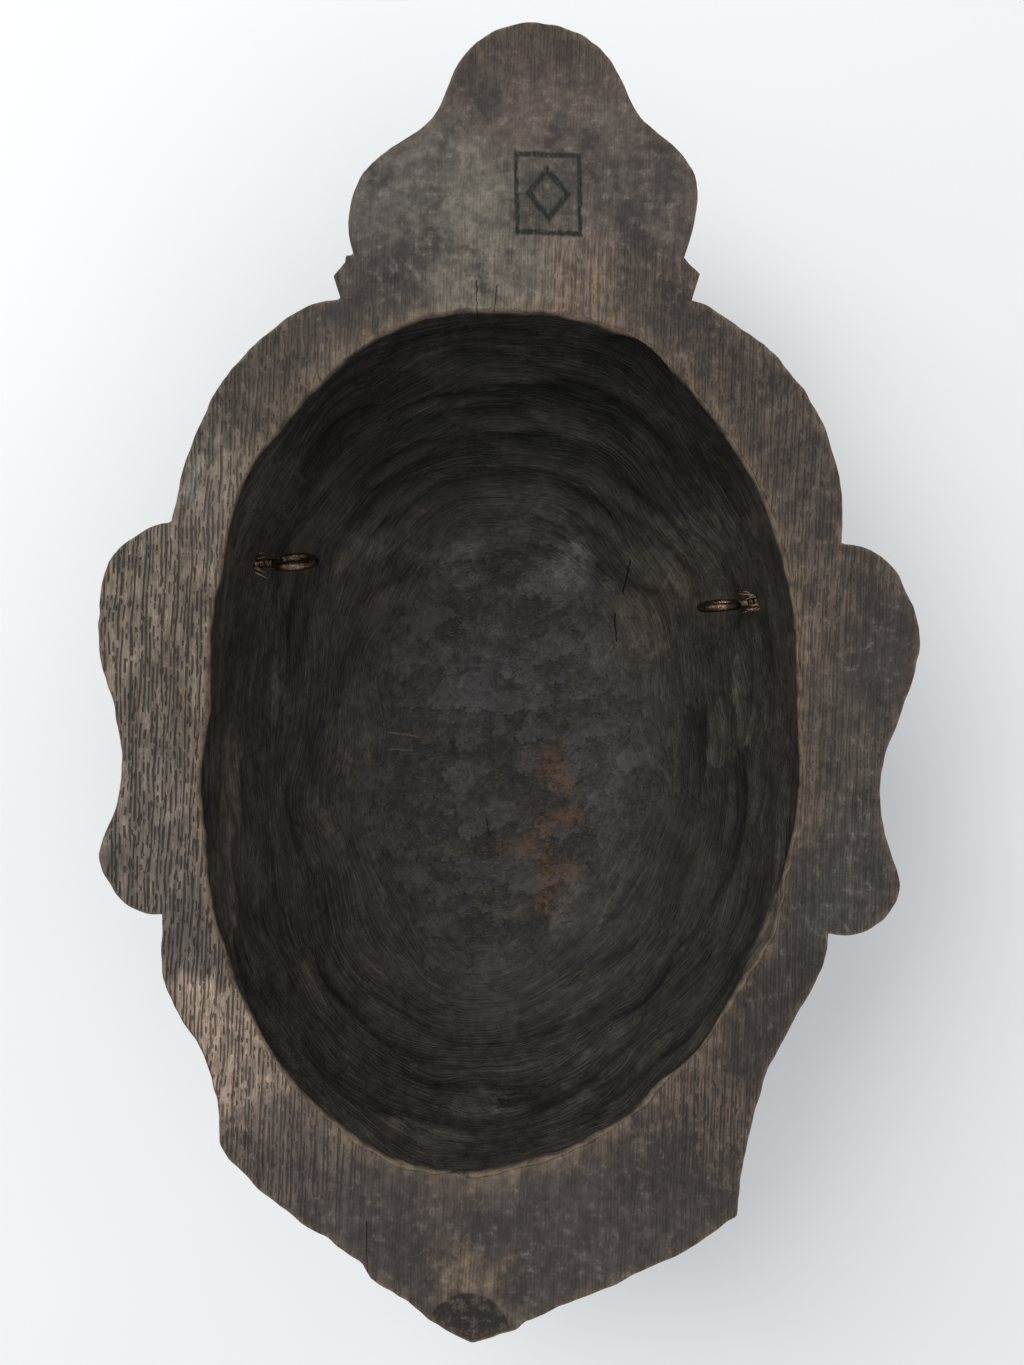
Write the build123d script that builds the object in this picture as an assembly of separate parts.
from build123d import *
import math
import os

# A hollow-backed head carved from one block of hardwood, lying on its front with the hollow up.
# +X and +Y lie in the flat back rim, +Y runs towards the topknot, and +Z comes out of the hollow.
# The origin is on the table under the middle of the outline, where the last step moves it: until
# then x and y are measured from the middle of the head. Depths are measured down from the rim.

# Driving dimensions, in millimetres
DEPTH = 96.0  # rim plane to the table, which the nose tip and the two hair rolls touch
HOLLOW_DEPTH = 69.0
BORDER_DEPTH = 27.0  # the border round the head: ears, neck and collar

# The egg of the head, wider than the hollow and buried in the border
SKULL_CENTRE = (-0.6, -14.0)
SKULL_HALF_WIDTH = 78.0
SKULL_TO_CROWN = 104.0
SKULL_TO_JAW = 116.0
SKULL_SQUARENESS = 2.4
HAIR_THICKNESS = 4.0
HAIRLINE_RADIUS = 60.0
HAIRLINE_CENTRE_Y = -10.0
# Each cut of the skull: its depth, and its width and height against the widest
SKULL_CUTS = [
    (10.0, 1.0),
    (30.0, 0.985),
    (50.0, 0.925),
    (65.0, 0.82),
    (76.0, 0.66),
    (82.0, 0.47),
    (84.0, 0.26),
]
# Points round each cut, enough for a smooth closed spline
SKULL_POINTS = 16

# Rounded masses on the head: middle (x, y, depth) and half sizes (x, y, depth)
HAIR_ROLL = ((24.0, 60.0, 72.0), (27.0, 15.0, 24.0))
NOSE_TIP = ((0.0, -22.0, 82.0), (9.0, 8.5, 14.0))
NOSE_WING = ((8.6, -23.0, 83.0), (6.0, 6.0, 7.5))
EYELID = ((27.0, 3.0, 77.5), (13.0, 6.5, 8.5))
BROW = ((29.0, 20.0, 78.0), (19.0, 4.5, 8.5))
UPPER_LIP = ((0.0, -46.5, 81.5), (19.0, 4.4, 7.5))
LOWER_LIP = ((0.0, -54.5, 80.5), (15.5, 4.6, 7.5))
CHIN = ((0.0, -83.0, 74.0), (19.0, 14.0, 11.0))
BUN = ((-0.8, 116.0, 30.0), (40.6, 17.6, 24.0))
KNOB = ((1.0, 141.0, 26.0), (20.4, 17.0, 24.0))
NOSE_CUTS = [(22.0, 82.0, 4.5, 3.5), (2.0, 82.5, 6.0, 7.5), (-18.0, 83.0, 7.6, 11.5)]

# The band tied round the topknot's foot
BAND_CENTRE_X = -1.8
BAND_Y = 98.0
BAND_HALF_WIDTH = 41.5
BAND_THICKNESS = 9.0
BAND_DEPTH = 45.0

# The screw eyes
WIRE_RADIUS = 1.1
RING_RADIUS = 5.1  # to the middle of the wire
RING_SWEEP = 338.0  # degrees of ring, which leaves a narrow gap beside the shank
RING_TO_WALL = 9.3
SHANK_IN_WOOD = 12.0
THREAD_RADIUS = 1.3
THREAD_ROOT_RADIUS = 0.95
THREAD_PITCH = 1.4
THREAD_OUT_OF_WOOD = 2.6
POINT_LENGTH = 1.6
BORE_CLEARANCE = 0.05
BORE_SPARE = 1.0  # bore left empty past the screw's point
BORE_MOUTH_OVERRUN = 6.0

# Each eye's ring centre, the way its shank points, and its ring's turn about the shank
LEFT_EYE = {"y": 29.0, "depth": 20.0, "wall_x": -65.6, "heading": 184.0, "turn": 20.0}
RIGHT_EYE = {"y": 24.2, "depth": 23.0, "wall_x": 64.0, "heading": 8.0, "turn": 9.0}

# The outline of the rim, clockwise from the left side of the topknot's foot. Each run is one
# smooth curve or a short row of straight cuts, and the runs meet at the notches and corners.
TOPKNOT = [
    (-41.4, 103.0),
    (-42.8, 113.0),
    (-39.6, 123.0),
    (-31.0, 130.4),
    (-23.4, 136.8),
    (-19.4, 146.0),
    (-15.0, 153.6),
    (-7.4, 158.9),
    (0.6, 160.3),
    (8.6, 159.2),
    (17.0, 154.2),
    (22.0, 147.0),
    (26.0, 139.6),
    (35.0, 131.9),
    (40.4, 125.6),
    (41.3, 117.0),
    (38.6, 104.9),
]
RIGHT_BAND = [(38.6, 104.9), (42.7, 101.3), (40.9, 94.9)]
RIGHT_HEAD = [(40.9, 94.9), (49.0, 91.3), (60.4, 83.3), (70.6, 71.7), (76.8, 58.4), (79.4, 37.3)]
RIGHT_EAR = [
    (79.4, 37.3),
    (84.2, 36.7),
    (89.2, 34.6),
    (95.2, 27.8),
    (99.0, 17.6),
    (97.8, 5.2),
    (93.4, -9.0),
    (91.0, -22.0),
    (93.4, -35.0),
    (96.4, -43.4),
    (96.2, -48.2),
    (92.6, -53.4),
    (88.0, -56.4),
    (80.1, -57.2),
]
RIGHT_NECK = [(80.1, -57.2), (76.0, -71.6), (68.7, -86.1), (63.6, -101.4), (61.0, -116.2), (60.3, -126.4)]
RIGHT_COLLAR = [(60.3, -126.4), (48.8, -134.6), (28.4, -145.2), (10.2, -153.6)]
COLLAR_POINT = [(10.2, -153.6), (8.2, -155.8), (-2.4, -159.7), (-12.0, -154.8)]
LEFT_COLLAR_TIP = [(-12.0, -154.8), (-20.4, -149.1), (-27.8, -144.4)]
LEFT_COLLAR_CHIP = [(-27.8, -144.4), (-29.8, -141.0)]
LEFT_COLLAR = [(-29.8, -141.0), (-46.6, -130.6), (-57.2, -122.6), (-62.8, -117.3), (-65.5, -113.6)]
LEFT_NECK = [
    (-65.5, -113.6),
    (-66.1, -105.2),
    (-67.9, -97.6),
    (-74.6, -85.2),
    (-80.0, -76.2),
    (-81.3, -68.0),
    (-81.6, -58.6),
]
LEFT_EAR = [
    (-81.6, -58.6),
    (-89.1, -57.2),
    (-94.8, -51.8),
    (-97.1, -44.8),
    (-94.8, -36.4),
    (-92.7, -23.0),
    (-94.6, -11.0),
    (-98.6, 2.6),
    (-99.6, 15.0),
    (-97.4, 26.0),
    (-91.8, 32.6),
    (-82.8, 36.2),
]
LEFT_HEAD = [(-82.8, 36.2), (-80.2, 50.4), (-74.6, 66.0), (-65.2, 79.2), (-54.4, 88.1), (-44.2, 92.2)]
LEFT_BAND = [(-44.2, 92.2), (-45.9, 97.2), (-41.4, 103.0)]
CURVED_RUNS = [
    TOPKNOT,
    RIGHT_HEAD,
    RIGHT_EAR,
    RIGHT_NECK,
    RIGHT_COLLAR,
    LEFT_COLLAR_TIP,
    LEFT_COLLAR,
    LEFT_NECK,
    LEFT_EAR,
    LEFT_HEAD,
]
STRAIGHT_RUNS = [COLLAR_POINT, LEFT_COLLAR_CHIP, RIGHT_BAND, LEFT_BAND]

# The edge of the hollow, anticlockwise from its right side
HOLLOW_EDGE = [
    (70.4, -8.0),
    (68.4, 18.6),
    (61.6, 43.6),
    (48.0, 65.4),
    (27.6, 84.4),
    (-1.2, 90.6),
    (-29.6, 85.2),
    (-51.2, 67.8),
    (-65.4, 43.6),
    (-71.4, 16.0),
    (-72.2, -14.0),
    (-69.8, -46.0),
    (-61.6, -76.6),
    (-44.6, -101.2),
    (-22.0, -115.6),
    (-4.0, -117.8),
    (20.4, -110.6),
    (42.2, -92.4),
    (60.0, -68.4),
    (68.8, -40.0),
]
# Each cut of the hollow: its share of the depth, its width and height against the edge's, and how
# far its middle has moved down towards the chin
HOLLOW_CUTS = [
    (0.0, 1.0, 1.0, 0.0),
    (0.2, 0.975, 0.965, -1.5),
    (0.42, 0.915, 0.905, -3.5),
    (0.62, 0.83, 0.825, -6.0),
    (0.79, 0.72, 0.72, -8.5),
    (0.915, 0.575, 0.585, -10.5),
    (0.98, 0.40, 0.42, -12.0),
    (1.0, 0.20, 0.22, -12.5),
]
HOLLOW_CENTRE = (-0.9, -13.5)


def make_outline():
    """The flat outline of the whole head."""
    edges = [Edge.make_spline([Vector(*point) for point in run]) for run in CURVED_RUNS]
    for run in STRAIGHT_RUNS:
        for start, end in zip(run, run[1:]):
            edges.append(Edge.make_line(Vector(*start), Vector(*end)))
    return Face(Wire(edges))


def make_skull(swell):
    """The egg of the head, carried down through its cuts, and swollen for the hair."""
    cuts = []
    for depth, size in SKULL_CUTS:
        points = []
        for step in range(SKULL_POINTS):
            angle = 2 * math.pi * step / SKULL_POINTS
            across = math.copysign(abs(math.cos(angle)) ** (2 / SKULL_SQUARENESS), math.cos(angle))
            along = math.copysign(abs(math.sin(angle)) ** (2 / SKULL_SQUARENESS), math.sin(angle))
            half_height = SKULL_TO_CROWN if along > 0 else SKULL_TO_JAW
            x = SKULL_CENTRE[0] + (SKULL_HALF_WIDTH * size + swell) * across
            y = SKULL_CENTRE[1] + (half_height * size + swell) * along
            points.append(Vector(x, y, DEPTH - depth - swell))
        cuts.append(Wire([Edge.make_spline(points, periodic=True)]))
    return Solid.make_loft(cuts)


def make_hair():
    """The cap of hair, which stands proud of the skull above a round hairline."""
    cap = make_skull(HAIR_THICKNESS)
    below = Pos(0, HAIRLINE_CENTRE_Y, 0) * Cylinder(HAIRLINE_RADIUS, 2 * DEPTH)
    jaw_box = Box(4 * SKULL_HALF_WIDTH, 2 * SKULL_TO_JAW, 2 * DEPTH)
    jaw_side = Pos(0, HAIRLINE_CENTRE_Y - SKULL_TO_JAW, 0) * jaw_box
    return cap - below - jaw_side


def make_mass(mass, side=1):
    """A rounded mass, or its twin on the other side."""
    (x, y, depth), half_sizes = mass
    return Pos(side * x, y, DEPTH - depth) * scale(Sphere(1), by=half_sizes)


def make_nose_bridge():
    cuts = []
    for y, depth, half_width, half_depth in NOSE_CUTS:
        plane = Plane(origin=(0, y, DEPTH - depth), x_dir=(1, 0, 0), z_dir=(0, -1, 0))
        cut = plane * Ellipse(half_width, half_depth)
        cuts.append(cut.face().outer_wire())
    return Solid.make_loft(cuts)


def make_band():
    """An elliptical disc through the topknot's foot."""
    disc = Plane.XZ * Ellipse(BAND_HALF_WIDTH, BAND_DEPTH)
    band = Pos(BAND_CENTRE_X, BAND_Y + BAND_THICKNESS / 2, DEPTH) * extrude(disc, BAND_THICKNESS)
    above_rim = Pos(0, BAND_Y, 1.5 * DEPTH) * Box(4 * BAND_HALF_WIDTH, 4 * BAND_THICKNESS, DEPTH)
    return band - above_rim


def make_head():
    """The solid head on its border, before it is hollowed."""
    head = Pos(0, 0, DEPTH - BORDER_DEPTH) * Solid.extrude(make_outline(), Vector(0, 0, BORDER_DEPTH))
    pieces = [make_skull(0), make_hair(), make_nose_bridge(), make_band()]
    for mass in (NOSE_TIP, UPPER_LIP, LOWER_LIP, CHIN, BUN, KNOB):
        pieces.append(make_mass(mass))
    for mass in (HAIR_ROLL, NOSE_WING, EYELID, BROW):
        pieces += [make_mass(mass), make_mass(mass, -1)]
    for piece in pieces:
        head += piece
    return head


def make_hollow():
    """The gouged hollow: cuts of the same egg shape, smaller and lower as they go down."""
    cuts = []
    for share, width, height, shift in HOLLOW_CUTS:
        z = DEPTH - share * HOLLOW_DEPTH
        points = []
        for x, y in HOLLOW_EDGE:
            cut_x = HOLLOW_CENTRE[0] + (x - HOLLOW_CENTRE[0]) * width
            cut_y = HOLLOW_CENTRE[1] + shift + (y - HOLLOW_CENTRE[1]) * height
            points.append(Vector(cut_x, cut_y, z))
        cuts.append(Wire([Edge.make_spline(points, periodic=True)]))
    return Solid.make_loft(cuts)


def eye_plane(eye):
    """A frame at the ring's centre: X runs down the shank into the wood, Z is the ring's axis."""
    heading = math.radians(eye["heading"])
    shank = Vector(math.cos(heading), math.sin(heading), 0)
    turn = math.radians(eye["turn"])
    across = Vector(-shank.Y, shank.X, 0) * math.copysign(1, shank.X)
    ring_axis = across * math.cos(turn) + Vector(0, 0, 1) * math.sin(turn)
    centre = Vector(eye["wall_x"], eye["y"], DEPTH - eye["depth"]) - shank * RING_TO_WALL
    return Plane(origin=centre, x_dir=shank, z_dir=ring_axis)


def make_shank():
    """The threaded shank and its point, along X, as a turned profile."""
    start = RING_TO_WALL - THREAD_OUT_OF_WOOD
    end = RING_TO_WALL + SHANK_IN_WOOD
    turns = int((end - POINT_LENGTH - start) / THREAD_PITCH)
    profile = [(RING_RADIUS, 0), (RING_RADIUS, WIRE_RADIUS), (start, WIRE_RADIUS)]
    for turn in range(turns):
        root = start + turn * THREAD_PITCH
        profile.append((root + 0.25 * THREAD_PITCH, THREAD_ROOT_RADIUS))
        profile.append((root + 0.60 * THREAD_PITCH, THREAD_RADIUS))
        profile.append((root + 0.75 * THREAD_PITCH, THREAD_RADIUS))
    profile.append((start + turns * THREAD_PITCH, THREAD_ROOT_RADIUS))
    profile.append((end, 0))
    return revolve(Face(Wire.make_polygon([Vector(x, y) for x, y in profile])), Axis.X)


def make_screw_eye(plane):
    gap_start = math.degrees(WIRE_RADIUS / RING_RADIUS)
    path = Edge.make_circle(RING_RADIUS, start_angle=-gap_start, end_angle=RING_SWEEP - gap_start)
    section = Plane(origin=path @ 0, z_dir=path % 0) * Circle(WIRE_RADIUS)
    ring = sweep(section, path=path)
    return plane * (ring + make_shank())


def make_bore(plane):
    """The round hole that a screw eye turns in."""
    length = BORE_MOUTH_OVERRUN + SHANK_IN_WOOD + BORE_SPARE
    mouth = RING_TO_WALL - BORE_MOUTH_OVERRUN
    hole = Cylinder(THREAD_RADIUS + BORE_CLEARANCE, length, align=(Align.CENTER, Align.CENTER, Align.MIN))
    return plane * Pos(mouth, 0, 0) * Rot(0, 90, 0) * hole


def make_body(planes):
    body = make_head() - make_hollow()
    for plane in planes:
        body -= make_bore(plane)
    return body


def main():
    left = eye_plane(LEFT_EYE)
    right = eye_plane(RIGHT_EYE)
    body = make_body([left, right])
    middle = body.bounding_box().center()
    to_origin = Pos(-middle.X, -middle.Y, 0)
    parts = {
        "carved_body": to_origin * body,
        "screw_eye_left": to_origin * make_screw_eye(left),
        "screw_eye_right": to_origin * make_screw_eye(right),
    }
    os.makedirs("parts", exist_ok=True)
    for name, shape in parts.items():
        export_step(shape, f"parts/{name}.step")
    for name, plane in (("left", left), ("right", right)):
        centre = to_origin.position + plane.origin
        print(name, "ring centre", centre, "shank", plane.x_dir, "ring axis", plane.z_dir)
    box = parts["carved_body"].bounding_box()
    print("body box", box.min, box.max, "volume", parts["carved_body"].volume)


main()
